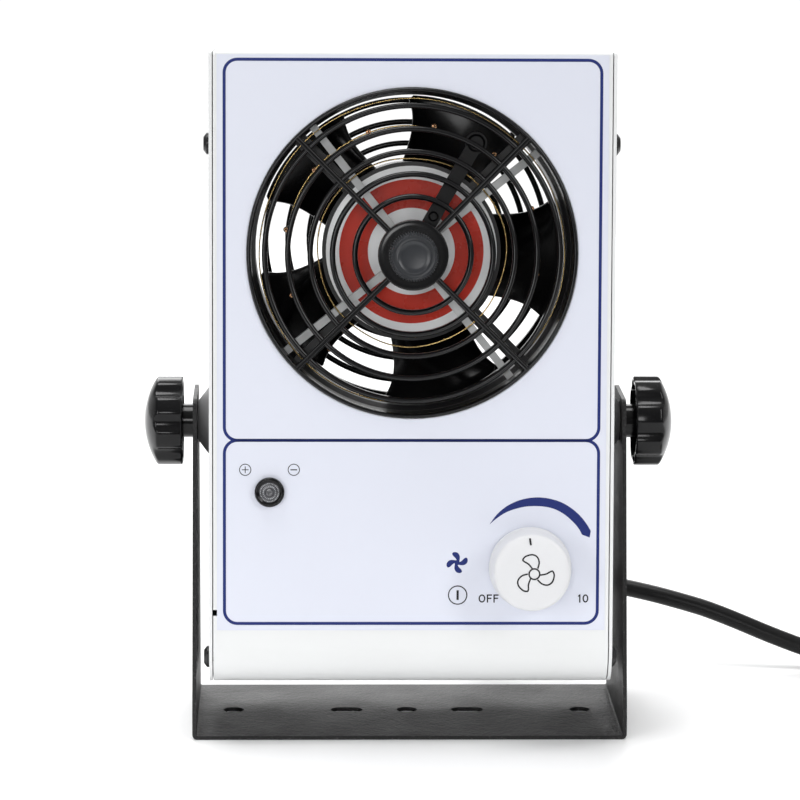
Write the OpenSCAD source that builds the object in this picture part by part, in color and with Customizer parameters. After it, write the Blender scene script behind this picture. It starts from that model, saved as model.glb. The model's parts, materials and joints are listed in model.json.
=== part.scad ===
// Bench-top ionizing air blower: sheet-metal housing with a 120 mm axial fan,
// emitter needles behind a moulded guard, and a U bracket that it tilts in.
// Millimetres, +Z up, front towards -Y, origin at the centre of the bracket's underside.

/* [Housing] */
// Width over the two side panels
housing_w = 152; // [146:1:156]
// Depth from front face to back face
housing_d = 84; // [80:1:88]
// Height of the housing below the tilt axis
below_axis = 96.3; // [90:0.1:98]
// Height of the housing above the tilt axis
above_axis = 142; // [138:0.5:146]
// Sheet thickness
sheet_t = 1.2; // [1:0.1:1.5]
// Bend radius of the lower front edge
low_bend_r = 14; // [10:1:18]
// Tilt of the housing at rest, leaning back
tilt_rest = 4; // [0:1:8]

/* [Bracket] */
// Width over the two arms
bracket_w = 165.2; // [162:0.1:168]
// Depth of the bracket strip
bracket_d = 82; // [76:1:86]
// Strip thickness
bracket_t = 1.5; // [1.2:0.1:2]
// Height of the tilt axis over the bench
axis_z = 116; // [114:1:120]
// Depth of an arm at its top
arm_top_d = 33; // [28:1:50]
arm_back_top_d = 21.5;
arm_shoulder_d = 32;
arm_shoulder_z = 97;
// Height of the arms above the tilt axis
arm_over = 10.8; // [10:0.1:16]
// Distance from the middle hole to each outer round hole
hole_pitch = 67.5; // [60:0.5:68]
// Distance from the middle to each slot
slot_pitch = 23.5; // [20:0.5:28]
// Radius of the round mounting holes
hole_r = 4; // [3:0.1:4.5]
// Slot width
slot_w = 7; // [6:0.1:7.5]
// Slot length
slot_l = 12.5; // [11:0.5:14]

/* [Fan and guard] */
// Height of the fan axis above the tilt axis
fan_z = 67; // [66:0.5:69]
// Outer radius of the visible guard rim
rim_r = 61.8; // [61:0.1:62]
// Radial width of a guard ring
ring_w = 2.1; // [1.6:0.1:2.6]
// How far the middle of the guard stands forward of its rim
dome_h = 11; // [8:0.5:12]
// Side of the square fan frame
fan_side = 122; // [119:1:123]
// Radius of the fan duct
duct_r = 58.8; // [58:0.1:59]
// Number of blades
blades = 5; // [5:1:7]
// Blade span in degrees, seen along the axis
blade_span = 45; // [36:1:46]

/* [Controls] */
// Speed knob centre to the right of the middle
knob_x = 44.7; // [40:0.1:48]
// Speed knob centre below the tilt axis
knob_z = -51.2; // [-56:0.1:-46]
// Lamp centre, sideways
lamp_x = -53.3; // [-56:0.1:-48]
// Lamp centre, height
lamp_z = -22.6; // [-30:0.1:-20]
// Brush knob radius
brush_knob_r = 9.1; // [8:0.1:9.5]

/* [Clamp knobs] */
// Clamp knob radius over its lobes
clamp_r = 17.2; // [16:0.1:18]
// Number of lobes
lobes = 8; // [6:1:9]

/* [Cord] */
// Cord diameter
cord_d = 7; // [6.5:0.1:7.5]
// Mean radius of the stored coil
coil_r = 40; // [38:1:42]

/* [Hidden] */
$fn = 72;
eps = 0.01;

half_w = housing_w / 2;            // outer face of a side panel
shell_w = half_w - sheet_t - 0.4;  // edge of the front shell, a dark seam inside the panel
yf = -housing_d / 2;               // front face
yb = housing_d / 2;                // back face
yin = yf + sheet_t;                // inner face of the front panel
zb = -below_axis;
zt = above_axis;
corner = 52.5;                     // fan fixing holes from the fan axis
guard_radii = [21.6, 29.9, 38.2, 46.6, 55.2];
diag = [45, 135, 225, 315];
// depths behind the front face, along the fan axis
z_flange = -sheet_t;               // front of the guard's flange, on the panel's inner face
z_duct = -3.2;                     // front of the duct ring
z_fan = -14;                       // front of the fan frame
fan_l = 38;

// places its children in the tilted housing, whose zero is on the tilt axis
module in_housing() translate([0, 0, axis_z]) rotate([-tilt_rest, 0, 0]) children();
// local z points forward out of the front face, at a spot (x, z) of the face
module on_face(x, z) in_housing() translate([x, yf, z]) rotate([90, 0, 0]) children();
// local z points backward out of the back face
module on_back(x, z) in_housing() translate([x, yb, z]) rotate([-90, 0, 0]) children();
// local z points to +X out of the right panel
module along_x(x, y, z) translate([x, y, z]) rotate([0, 90, 0]) children();
module tube(r1, r2, h) difference() { cylinder(r = r2, h = h); translate([0, 0, -1]) cylinder(r = r1, h = h + 2); }
module cone_ring(r1, r2a, r2b, h) difference() { cylinder(r1 = r2a, r2 = r2b, h = h); translate([0, 0, -1]) cylinder(r = r1, h = h + 2); }
module four(p) for (sx = [-1, 1], sy = [-1, 1]) translate([sx * p, sy * p, 0]) children();
module hex(af, h, bore) difference() {
  rotate([0, 0, 30]) cylinder(r = af / 2 / cos(30), h = h, $fn = 6);
  translate([0, 0, -1]) cylinder(r = bore, h = h + 2);
}
// pan head screw: head above zero, shank below
module pan_screw(hr, hh, sr, sl) difference() {
  union() {
    cylinder(r = hr, h = hh * 0.45);
    translate([0, 0, hh * 0.45]) cylinder(r1 = hr, r2 = hr * 0.62, h = hh * 0.55);
    translate([0, 0, -sl]) cylinder(r = sr, h = sl + eps);
  }
  for (a = [0, 90]) rotate([0, 0, a]) translate([-hr * 0.5, -0.35, hh * 0.45]) cube([hr, 0.7, hh]);
}

// side silhouette of the housing in (y, z), inset by i
module side_profile(i = 0) {
  r = low_bend_r - i;
  union() {
    translate([yf + i, zb + low_bend_r]) square([housing_d - 2 * i, zt - zb - low_bend_r - 1.2]);
    translate([yf + 1.2, zb + low_bend_r]) square([housing_d - 1.2 - i, zt - zb - low_bend_r - i]);
    if (i < 1.2) translate([yf + 1.2, zt - 1.2]) circle(r = 1.2 - i);
    translate([yf + low_bend_r, zb + i]) square([housing_d - low_bend_r - i, low_bend_r]);
    translate([yf + low_bend_r, zb + low_bend_r]) circle(r = r);
  }
}
module extrude_x(x0, x1) translate([x0, 0, 0]) rotate([90, 0, 90]) linear_extrude(height = x1 - x0) children();

// ---------- bracket ----------
module u_profile(i) {
  r = 2 - i;
  h = axis_z + arm_over - i + (i > 0 ? 20 : 0);
  union() {
    translate([-bracket_w / 2 + i, 2]) square([bracket_w - 2 * i, h]);
    translate([-bracket_w / 2 + 2, i]) square([bracket_w - 4, 6]);
    for (s = [-1, 1]) translate([s * (bracket_w / 2 - 2), 2]) circle(r = r);
  }
}
module arm_silhouette() {
  // the front edge leans back all the way from the base; the back edge stands upright at first,
  // leans a little up to a shoulder and then cuts in to a narrow flat top with rounded corners
  top = axis_z + arm_over;
  r = 4;
  d0 = bracket_d / 2;
  d1 = arm_top_d / 2;
  lean = atan((d0 - d1) / (top - 8));
  cx = d1 - r / cos(lean) + r * tan(lean);
  back = atan((arm_shoulder_d - arm_back_top_d) / (top - arm_shoulder_z));
  bx = arm_back_top_d - r / cos(back) + r * tan(back);
  union() {
    translate([-d0, -1]) square([bracket_d, 9]);
    polygon([[-d0, 8], [d0, 8], [d0, 22], [arm_shoulder_d, arm_shoulder_z], [bx + r * cos(back), top - r + r * sin(back)], [bx, top], [-cx, top], [-cx - r * cos(lean), top - r + r * sin(lean)]]);
    translate([-cx, top - r]) circle(r = r);
    translate([bx, top - r]) circle(r = r);
  }
}
module bracket() color([0.13, 0.13, 0.14]) difference() {
  intersection() {
    difference() {
      translate([0, bracket_d / 2 + 1, 0]) rotate([90, 0, 0]) linear_extrude(height = bracket_d + 2) u_profile(0);
      translate([0, bracket_d / 2 + 2, 0]) rotate([90, 0, 0]) linear_extrude(height = bracket_d + 4) u_profile(bracket_t);
    }
    extrude_x(-bracket_w, bracket_w) arm_silhouette();
  }
  along_x(-bracket_w, 0, axis_z) cylinder(r = 4.1, h = 2 * bracket_w);
  for (x = [-hole_pitch, 0, hole_pitch]) translate([x, 0, -1]) cylinder(r = hole_r, h = 6);
  for (x = [-slot_pitch, slot_pitch]) {
    for (s = [-1, 1]) translate([x + s * (slot_l - slot_w) / 2, 0, -1]) cylinder(r = slot_w / 2, h = 6);
    translate([x - (slot_l - slot_w) / 2, -slot_w / 2, -1]) cube([slot_l - slot_w, slot_w, 6]);
  }
}
module pivot_spacers() color([0.12, 0.12, 0.13]) for (s = [-1, 1])
  in_housing() mirror([s < 0 ? 1 : 0, 0, 0]) along_x(half_w, 0, 0)
    difference() { cylinder(r1 = 14, r2 = 7.4, h = bracket_w / 2 - bracket_t - half_w - 0.1); translate([0, 0, -1]) cylinder(r = 4.1, h = 10); }

// ---------- sheet metal ----------
module front_shell() color([0.95, 0.95, 0.94]) in_housing() difference() {
  union() {
    difference() {
      extrude_x(-shell_w, shell_w) side_profile(0);
      extrude_x(-shell_w - 1, shell_w + 1) side_profile(sheet_t);
      translate([-100, yb - sheet_t - 0.2, -200]) cube([200, 20, 400]);
    }
    intersection() {
      for (s = [-1, 1], z = [107.5, -83.6]) translate([s > 0 ? shell_w - sheet_t : -shell_w, yf, z - 8]) cube([sheet_t, 18, 16]);
      extrude_x(-shell_w, shell_w) side_profile(0.6);
    }
  }
  translate([0, yf - 1, fan_z]) rotate([-90, 0, 0]) cylinder(r = rim_r + 0.15, h = 4);
  translate([lamp_x, yf - 1, lamp_z]) rotate([-90, 0, 0]) cylinder(r = 4.3, h = 4);
  translate([knob_x, yf - 1, knob_z]) rotate([-90, 0, 0]) cylinder(r = 3.7, h = 4);
  for (z = [107.5, -86.6]) along_x(-100, yf + 10, z) cylinder(r = 2.05, h = 200);
  translate([-shell_w - 1, yf - 1, -69.6]) cube([2.9, 3, 2.3]);
}
module rear_u(i) {
  r = 1.8 - i > 0 ? 1.8 - i : 0.4;
  union() {
    translate([-half_w + i, yf - 5 * (i > 0 ? 1 : 0)]) square([housing_w - 2 * i, housing_d - 1.8 + 5 * (i > 0 ? 1 : 0)]);
    translate([-half_w + 1.8, yf]) square([housing_w - 3.6, housing_d - i]);
    for (s = [-1, 1]) translate([s * (half_w - 1.8), yb - 1.8]) circle(r = r);
  }
}
module rear_shell() color([0.95, 0.95, 0.94]) in_housing() difference() {
  intersection() {
    difference() {
      translate([0, 0, -150]) linear_extrude(height = 400) rear_u(0);
      translate([0, 0, -160]) linear_extrude(height = 420) rear_u(sheet_t);
    }
    extrude_x(-100, 100) side_profile(0);
  }
  translate([0, yb - 4, fan_z]) rotate([-90, 0, 0]) cylinder(r = rim_r + 0.15, h = 8);
  translate([0, yb - 4, fan_z]) rotate([-90, 0, 0]) four(corner) cylinder(r = 2.2, h = 8);
  translate([30, yb - 4, -76]) rotate([-90, 0, 0]) cylinder(r = 6.1, h = 8);
  for (z = [107.5, -86.6]) along_x(-100, yf + 10, z) cylinder(r = 2.2, h = 200);
  along_x(-100, 0, 0) cylinder(r = 4.2, h = 200);
}
module front_label() color([0.90, 0.92, 0.97]) in_housing() difference() {
  translate([-73, yf - 0.3, -75]) cube([146, 0.3, 216]);
  translate([0, yf - 2, fan_z]) rotate([-90, 0, 0]) cylinder(r = rim_r + 0.3, h = 4);
  translate([lamp_x, yf - 2, lamp_z]) rotate([-90, 0, 0]) cylinder(r = 4.4, h = 4);
  translate([knob_x, yf - 2, knob_z]) rotate([-90, 0, 0]) cylinder(r = 6.5, h = 4);
}

// ---------- guards ----------
function dome(r) = 1.5 + dome_h * pow(1 - r / 61, 1.2);
module guard_ring(r) rotate_extrude() polygon([
  [r - ring_w / 2, dome(r) - 3.4], [r + ring_w / 2, dome(r) - 3.4],
  [r + ring_w / 2, dome(r) - 0.6], [r + ring_w / 2 - 0.6, dome(r)],
  [r - ring_w / 2 + 0.6, dome(r)], [r - ring_w / 2, dome(r) - 0.6]]);
module guard_spoke() {
  n = 8;
  rs = [for (k = [0:n]) 12 + (60.8 - 12) * k / n];
  translate([0, ring_w / 2, 0]) rotate([90, 0, 0]) linear_extrude(height = ring_w)
    polygon(concat([for (r = rs) [r, dome(r) + 0.3]], [for (k = [n:-1:0]) [rs[k], max(dome(rs[k]) - 4, -3)]]));
}
module guard(hub_r, bore) difference() {
  union() {
    for (r = guard_radii) guard_ring(r);
    for (a = diag) rotate([0, 0, a]) guard_spoke();
    translate([0, 0, dome(13) - 4]) cylinder(r = hub_r, h = 4.5);
    translate([0, 0, dome(13) + 0.5 - eps]) cylinder(r1 = hub_r, r2 = hub_r - 1, h = 1 + eps);
    translate([0, 0, z_duct]) tube(60.3, rim_r, 1.1 - z_duct);
    translate([0, 0, 1.1 - eps]) cone_ring(60.3, rim_r, rim_r - 0.5, 0.4 + eps);
    difference() {
      translate([-fan_side / 2 - 2.5, -fan_side / 2 - 2.5, z_duct]) cube([fan_side + 5, fan_side + 5, -sheet_t - z_duct]);
      translate([0, 0, -10]) cylinder(r = 60.3, h = 20);
    }
  }
  four(corner) translate([0, 0, -10]) cylinder(r = 2.2, h = 20);
  if (bore > 0) translate([0, 0, -10]) cylinder(r = bore, h = 30);
}
module front_guard() color([0.03, 0.03, 0.035]) on_face(0, fan_z) guard(13.1, 3.05);
module rear_guard() color([0.03, 0.03, 0.035]) on_back(0, fan_z) guard(13.1, 0);

// ---------- fan ----------
module duct_ring() color([0.02, 0.02, 0.022]) on_face(0, fan_z) difference() {
  union() {
    translate([0, 0, z_fan]) tube(60.3, 62.2, z_duct - z_fan);
    difference() {
      translate([-fan_side / 2, -fan_side / 2, z_fan]) cube([fan_side, fan_side, 2]);
      translate([0, 0, z_fan - 1]) cylinder(r = 60.3, h = 5);
    }
    translate([0, 0, z_fan]) four(corner) cylinder(r = 5, h = z_duct - z_fan);
  }
  translate([0, 0, z_fan - 1]) four(corner) cylinder(r = 2.2, h = 20);
  rotate([0, 0, 218.4]) translate([58, 0, -10.5]) rotate([0, 90, 0]) cylinder(r = 1.45, h = 8);
}
module fan_frame() color([0.03, 0.03, 0.035]) on_face(0, fan_z) difference() {
  union() {
    difference() {
      union() {
        for (z = [z_fan - 5, z_fan - fan_l]) translate([-fan_side / 2, -fan_side / 2, z]) cube([fan_side, fan_side, 5]);
        translate([0, 0, z_fan - fan_l]) cylinder(r = 60.5, h = fan_l);
      }
      translate([0, 0, z_fan - fan_l - 1]) cylinder(r = duct_r, h = fan_l + 2);
      translate([0, 0, z_fan - 4]) cylinder(r1 = duct_r, r2 = 60.2, h = 4 + eps);
      translate([0, 0, z_fan - fan_l - eps]) cylinder(r1 = 60.2, r2 = duct_r, h = 4);
    }
    translate([0, 0, z_fan - 5]) cylinder(r = 33.7, h = 5);
    for (a = diag) rotate([0, 0, a]) translate([30, -2.6, z_fan - 3.6]) cube([31, 5.2, 3.3]);
    translate([0, 0, z_fan - 27]) cylinder(r = 6, h = 23);
  }
  translate([0, 0, z_fan - 30]) cylinder(r = 4.05, h = 28);
  translate([0, 0, z_fan - 60]) four(corner) cylinder(r = 2.2, h = 80);
}
module motor_label() color([0.80, 0.81, 0.82]) on_face(0, fan_z) translate([0, 0, z_fan]) cylinder(r = 32.2, h = 0.3);
module motor_stator() color([0.72, 0.42, 0.22]) on_face(0, fan_z) union() {
  translate([0, 0, z_fan - 24]) tube(6.02, 27, 12);
  translate([0, 0, z_fan - 26.5]) tube(9, 24, 18.5);
}
module motor_bearings() color([0.75, 0.75, 0.76]) on_face(0, fan_z)
  for (z = [z_fan - 7, z_fan - 26]) translate([0, 0, z]) tube(2.55, 4.0, 4.5);
module rotor_cup() color([0.45, 0.45, 0.47]) on_face(0, fan_z) difference() {
  translate([0, 0, z_fan - 31]) cylinder(r = 30, h = 24);
  translate([0, 0, z_fan - 29]) cylinder(r = 28.3, h = 30);
  translate([0, 0, z_fan - 40]) cylinder(r = 2.52, h = 20);
}
module fan_shaft() color([0.7, 0.7, 0.72]) on_face(0, fan_z) translate([0, 0, z_fan - 31]) cylinder(r = 2.5, h = 28.5);
// one blade: rows run from hub to tip, columns from leading to trailing edge
nr = 5;
nc = 8;
function blade_a(i, j) = blade_span * (j / nc - 0.5) * (1 - 0.08 * i / nr) + 5 * sin(180 * i / nr) * 0.6 - 4 * i / nr;
function blade_r(i) = 32.2 + (58 - 32.2) * i / nr;
function blade_z(i, j) = z_fan - 21 + (12 - 5.5 * i / nr) * cos(180 * j / nc) + 1.6 * sin(180 * j / nc);
function blade_t(i, j) = 0.5 + 0.9 * sin(180 * (j * 0.9 + 0.5) / nc);
function blade_p(i, j, s) = [blade_r(i) * cos(blade_a(i, j)), blade_r(i) * sin(blade_a(i, j)), blade_z(i, j) + s * blade_t(i, j)];
function bi(i, j, s) = s * (nr + 1) * (nc + 1) + i * (nc + 1) + j;
module blade() polyhedron(
  points = concat([for (i = [0:nr], j = [0:nc]) blade_p(i, j, 1)], [for (i = [0:nr], j = [0:nc]) blade_p(i, j, -1)]),
  faces = concat(
    [for (i = [0:nr-1], j = [0:nc-1], k = [0, 1]) k == 0 ? [bi(i,j,0), bi(i,j+1,0), bi(i+1,j,0)] : [bi(i,j+1,0), bi(i+1,j+1,0), bi(i+1,j,0)]],
    [for (i = [0:nr-1], j = [0:nc-1], k = [0, 1]) k == 0 ? [bi(i,j,1), bi(i+1,j,1), bi(i,j+1,1)] : [bi(i,j+1,1), bi(i+1,j,1), bi(i+1,j+1,1)]],
    [for (j = [0:nc-1], k = [0, 1]) k == 0 ? [bi(0,j,0), bi(0,j,1), bi(0,j+1,0)] : [bi(0,j+1,0), bi(0,j,1), bi(0,j+1,1)]],
    [for (j = [0:nc-1], k = [0, 1]) k == 0 ? [bi(nr,j,0), bi(nr,j+1,0), bi(nr,j,1)] : [bi(nr,j+1,0), bi(nr,j+1,1), bi(nr,j,1)]],
    [for (i = [0:nr-1], k = [0, 1]) k == 0 ? [bi(i,0,0), bi(i+1,0,0), bi(i,0,1)] : [bi(i+1,0,0), bi(i+1,0,1), bi(i,0,1)]],
    [for (i = [0:nr-1], k = [0, 1]) k == 0 ? [bi(i,nc,0), bi(i,nc,1), bi(i+1,nc,0)] : [bi(i+1,nc,0), bi(i,nc,1), bi(i+1,nc,1)]]));
module fan_impeller() color([0.02, 0.02, 0.022]) on_face(0, fan_z) union() {
  difference() {
    translate([0, 0, z_fan - 33.5]) cylinder(r = 33, h = 26.5);
    translate([0, 0, z_fan - 31]) cylinder(r = 30.1, h = 40);
  }
  for (k = [0:blades-1]) rotate([0, 0, 67.5 + k * 360 / blades]) blade();
}

// ---------- emitter ----------
arm_angles = [38.4, 128.4, 218.4, 308.4];
z_em = -8.6;   // front of the emitter frame
module emitter_frame() color([0.55, 0.56, 0.56]) on_face(0, fan_z) difference() {
  union() {
    translate([0, 0, z_em - 4.8]) cylinder(r = 9, h = 5.1);
    rotate([0, 0, arm_angles[0]]) difference() {
      union() {
        translate([-60.2, -1.45, z_em - 4.6]) cube([120.4, 2.9, 4.6]);
        translate([-1.45, -60.2, z_em - 4.6]) cube([2.9, 120.4, 4.6]);
      }
      for (r = [35.5, 47, 57.4], s = [-1, 1]) {
        translate([s * r - 0.46, -3, z_em - 1.95]) cube([0.92, 6, 5]);
        translate([-3, s * r - 0.46, z_em - 1.95]) cube([6, 0.92, 5]);
      }
    }
  }
  translate([0, 0, z_em - 10]) cylinder(r = 3.05, h = 20);
}
module emitter_wires() color([0.72, 0.58, 0.30]) on_face(0, fan_z)
  for (r = [35.5, 47, 57.4]) translate([0, 0, z_em - 1.5]) rotate_extrude() translate([r, 0]) circle(r = 0.38);
module emitter_needles() color([0.78, 0.50, 0.26]) on_face(0, fan_z)
  for (k = [0:11]) rotate([0, 0, 20 + k * 30]) translate([48.2, 0, z_em - 4.6]) union() {
    cylinder(r = 0.8, h = 3.6);
    translate([0, 0, 3.6 - eps]) cylinder(r = 0.5, h = 1);
    translate([0, 0, 4.6 - 2 * eps]) cylinder(r1 = 0.5, r2 = 0.08, h = 1);
  }

// ---------- cleaning brush ----------
brush_a = 60;
z_arm = -4;    // front of the brush arm
knob_front = dome(13) + 12;
module knurl_outline(r, n, d) polygon([for (k = [0:2*n-1]) (k % 2 == 0 ? r : r - d) * [cos(k * 180 / n), sin(k * 180 / n)]]);
module brush_knob() color([0.04, 0.04, 0.045]) on_face(0, fan_z) difference() {
  union() {
    translate([0, 0, dome(13) + 1.8]) linear_extrude(height = 8.9) knurl_outline(brush_knob_r, 40, 0.45);
    translate([0, 0, dome(13) + 10.7 - eps]) cylinder(r1 = brush_knob_r - 0.3, r2 = brush_knob_r - 1.3, h = 1.3);
  }
  translate([0, 0, knob_front + 22]) sphere(r = 23.2);
  translate([0, 0, dome(13) + 1]) cylinder(r = 3.0, h = 7);
}
module brush_shaft() color([0.65, 0.65, 0.67]) on_face(0, fan_z) translate([0, 0, z_em - 4]) cylinder(r = 2.98, h = dome(13) + 8 - z_em + 4);
module brush_arm() color([0.04, 0.04, 0.045]) on_face(0, fan_z) rotate([0, 0, brush_a]) difference() {
  union() {
    translate([0, 0, z_arm - 2]) cylinder(r = 7, h = 2);
    translate([0, -2.8, z_arm - 2]) cube([47.5, 5.6, 2]);
    translate([47.5, 0, z_arm - 2]) cylinder(r = 4.1, h = 2);
    translate([47.5, 0, z_arm - eps]) cylinder(r1 = 3.4, r2 = 2.6, h = 0.9);
  }
  translate([0, 0, z_arm - 5]) cylinder(r = 3.0, h = 10);
  translate([15.8, 0, z_arm - 5]) cylinder(r = 1.25, h = 10);
}
module brush_rivet() color([0.35, 0.35, 0.36]) on_face(0, fan_z) rotate([0, 0, brush_a]) translate([15.8, 0, 0]) union() {
  translate([0, 0, z_arm]) cylinder(r1 = 1.9, r2 = 1.3, h = 0.7);
  translate([0, 0, z_arm - 2.5]) cylinder(r = 1.2, h = 2.5 + eps);
}
module brush_tuft() color([0.62, 0.58, 0.50]) on_face(0, fan_z) rotate([0, 0, brush_a])
  for (dx = [-2, 0, 2], dy = [-1.2, 1.2]) translate([47.5 + dx, dy, z_arm - 2.9]) cylinder(r = 0.8, h = 0.9);

// ---------- lamp ----------
module lamp_bezel() color([0.03, 0.03, 0.03]) on_face(lamp_x, lamp_z) difference() {
  union() { translate([0, 0, 0.3]) cylinder(r = 5.6, h = 1.2); translate([0, 0, 1.5 - eps]) cylinder(r1 = 5.6, r2 = 4.9, h = 0.9); }
  translate([0, 0, -1]) cylinder(r = 3.9, h = 6);
}
module lamp_lens() color([0.45, 0.45, 0.46]) on_face(lamp_x, lamp_z) difference() {
  union() {
    translate([0, 0, 0]) cylinder(r = 3.85, h = 1.9);
    for (k = [0:2]) translate([0, 0, 1.9 - eps + k * 0.35]) cylinder(r1 = 3.7 - k * 0.9, r2 = 3.1 - k * 0.9, h = 0.36);
  }
  translate([0, 0, -1]) cylinder(r = 1.6, h = 2);
}
module lamp_body() color([0.12, 0.12, 0.12]) on_face(lamp_x, lamp_z) union() {
  translate([0, 0, -14]) cylinder(r = 4.2, h = 14);
  for (x = [-1.3, 1.3]) translate([x, 0, -22]) cylinder(r = 0.4, h = 8 + eps);
}
module lamp_nut() color([0.7, 0.7, 0.7]) on_face(lamp_x, lamp_z) translate([0, 0, -sheet_t - 2.5]) hex(12, 2.5, 4.22);

// ---------- speed control ----------
module speed_knob() color([0.96, 0.96, 0.95]) on_face(knob_x, knob_z) difference() {
  union() {
    translate([0, 0, 0.8]) cylinder(r1 = 15.5, r2 = 15.2, h = 2.2);
    translate([0, 0, 3 - eps]) cylinder(r1 = 15.2, r2 = 14.4, h = 11.2);
    translate([0, 0, 14.2 - 2 * eps]) cylinder(r1 = 14.4, r2 = 13.3, h = 1.1);
  }
  difference() {
    translate([0, 0, 0]) cylinder(r = 13.2, h = 11);
    cylinder(r = 5.2, h = 12);
  }
  translate([0, 0, -1]) cylinder(r = 6.6, h = 5.2);
  translate([0, 0, 0]) cylinder(r = 3.0, h = 12);
}
module pot_shaft() color([0.75, 0.75, 0.76]) on_face(knob_x, knob_z) difference() {
  translate([0, 0, -8]) cylinder(r = 2.98, h = 19.5);
  translate([-0.5, -4, 7.5]) cube([1, 8, 5]);
}
module speed_pot() color([0.30, 0.42, 0.32]) on_face(knob_x, knob_z) difference() {
  union() {
    translate([0, 0, -12]) cylinder(r = 8.4, h = 12 - sheet_t);
    translate([0, 0, -sheet_t - eps]) cylinder(r = 3.6, h = sheet_t + 3.8);
    translate([-4, -15, -11]) cube([8, 8, 1.2]);
  }
  translate([0, 0, -9]) cylinder(r = 3.05, h = 20);
}
module pot_nut() color([0.78, 0.78, 0.78]) on_face(knob_x, knob_z) hex(10.6, 2.2, 3.65);

// ---------- electronics ----------
module control_board() color([0.08, 0.30, 0.16]) in_housing() difference() {
  translate([-62, -20, -72]) cube([124, 1.6, 64]);
  for (x = [-59, 59], z = [-68, -12]) translate([x, -25, z]) rotate([-90, 0, 0]) cylinder(r = 1.6, h = 10);
}
module board_spacers() color([0.75, 0.65, 0.35]) in_housing() for (x = [-59, 59], z = [-68, -12])
  translate([x, yin, z]) rotate([-90, 0, 0]) difference() {
    union() { cylinder(r = 3, h = -20 - yin); cylinder(r = 1.5, h = -20 - yin + 3); }
  }
module board_parts() color([0.2, 0.2, 0.25]) in_housing() {
  for (p = [[-40, -30], [-22, -30], [-4, -30]]) translate([p[0], -18.4, p[1]]) rotate([-90, 0, 0]) cylinder(r = 5, h = 14);
  translate([18, -18.4, -40]) cube([22, 16, 18]);
  translate([-50, -18.4, -66]) cube([30, 12, 14]);
}
module hv_module() color([0.10, 0.10, 0.12]) in_housing() difference() {
  union() {
    translate([-64, 6, -90]) cube([78, 30, 34]);
    for (x = [-70, 14 - eps]) translate([x, 12, -93.3]) cube([6 + eps, 18, 2]);
    translate([-64, 6, -93.3]) cube([78, 30, 3.3 + eps]);
  }
  for (x = [-67, 17]) translate([x, 21, -100]) cylinder(r = 1.7, h = 20);
}
module hv_screws() color([0.7, 0.7, 0.72]) in_housing() for (x = [-67, 17]) translate([x, 21, -91.3]) pan_screw(2.7, 1.6, 1.5, 2.0);

// round lead or cord swept through points; ref is any direction it never runs along
function unit(v) = v / norm(v);
function tangent(p, k) = unit(p[min(k + 1, len(p) - 1)] - p[max(k - 1, 0)]);
function side_v(t, ref) = unit(cross(t, ref));
function ring_pts(p, k, t, r, ref, sides) = [for (a = [0:sides-1]) p[k] + r * (cos(a * 360 / sides) * side_v(t, ref) + sin(a * 360 / sides) * cross(side_v(t, ref), t))];
module swept(p, r, ref = [0, 0, 1], sides = 10) {
  n = len(p);
  polyhedron(points = [for (k = [0:n-1]) each ring_pts(p, k, tangent(p, k), r, ref, sides)],
    faces = concat([[for (a = [0:sides-1]) sides - 1 - a]], [[for (a = [0:sides-1]) (n - 1) * sides + a]],
      [for (k = [0:n-2], a = [0:sides-1], h = [0, 1]) h == 0
        ? [k * sides + a, k * sides + (a + 1) % sides, (k + 1) * sides + a]
        : [k * sides + (a + 1) % sides, (k + 1) * sides + (a + 1) % sides, (k + 1) * sides + a]]));
}
module hv_lead() color([0.75, 0.12, 0.10]) in_housing()
  swept([[-40, 21, -55.95], [-40, 20.9, -51], [-40.2, 19, -45], [-41, 14, -36], [-42, 6, -22], [-42.5, -4, -12], [-43, -15, -5], [-43, -25, -2],
    [-43, -31.5, 0.5], [-43.5, -34.3, 5], [-44.5, -34.5, 11], [-46.4, -34.3, 17], [-49.2, -33.2, 23.5], [-50, -32, 26.8], [-49, -31.5, 28.15], [-47.24, -31.5, 29.56]], 1.3, [0, 1, 0.15], 8);
module fan_lead() color([0.15, 0.15, 0.16]) in_housing()
  swept([[29, -2.35, -30], [29, 1, -30], [29.6, 3.5, -29.2], [31.5, 7, -26.5], [35.5, 11, -19], [40, 12.6, -8], [43, 14, 2], [44, 14.8, 8], [44, 14, 11.4], [44, 12, 12], [44, 10.05, 12]], 1.4, [1, 0, 0], 8);
module mains_lead() color([0.55, 0.55, 0.57]) in_housing()
  swept([[30, 37.95, -76], [30, 31, -76], [30, 20, -74.5], [30.5, 10, -71], [32, 1, -65], [33.5, -6, -57], [35, -10, -48], [35, -10.4, -43.5], [35, -10.4, -40.05]], 2.4, [1, 0, 0], 8);

// ---------- fixings ----------
module side_screws() color([0.06, 0.06, 0.06]) in_housing() for (s = [-1, 1], z = [107.5, -86.6])
  mirror([s < 0 ? 1 : 0, 0, 0]) along_x(half_w, yf + 10, z) pan_screw(4.1, 2.1, 2.0, 6);
module weld_studs() color([0.7, 0.7, 0.7]) on_face(0, fan_z) four(corner) translate([0, 0, -25]) cylinder(r = 2.0, h = 25 - sheet_t);
module stud_nuts() color([0.75, 0.75, 0.75]) on_face(0, fan_z) four(corner) union() {
  translate([0, 0, z_fan - 5 - 0.8]) tube(2.1, 4.4, 0.8);
  translate([0, 0, z_fan - 5 - 4]) hex(7, 3.2 + eps, 2.03);
}
module guard_screws() color([0.06, 0.06, 0.06]) on_back(0, fan_z) four(corner) pan_screw(4.0, 2.2, 2.0, 8);
module guard_nuts() color([0.75, 0.75, 0.75]) on_back(0, fan_z) four(corner) translate([0, 0, z_duct - 3.2]) hex(7, 3.2, 2.03);
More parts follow.
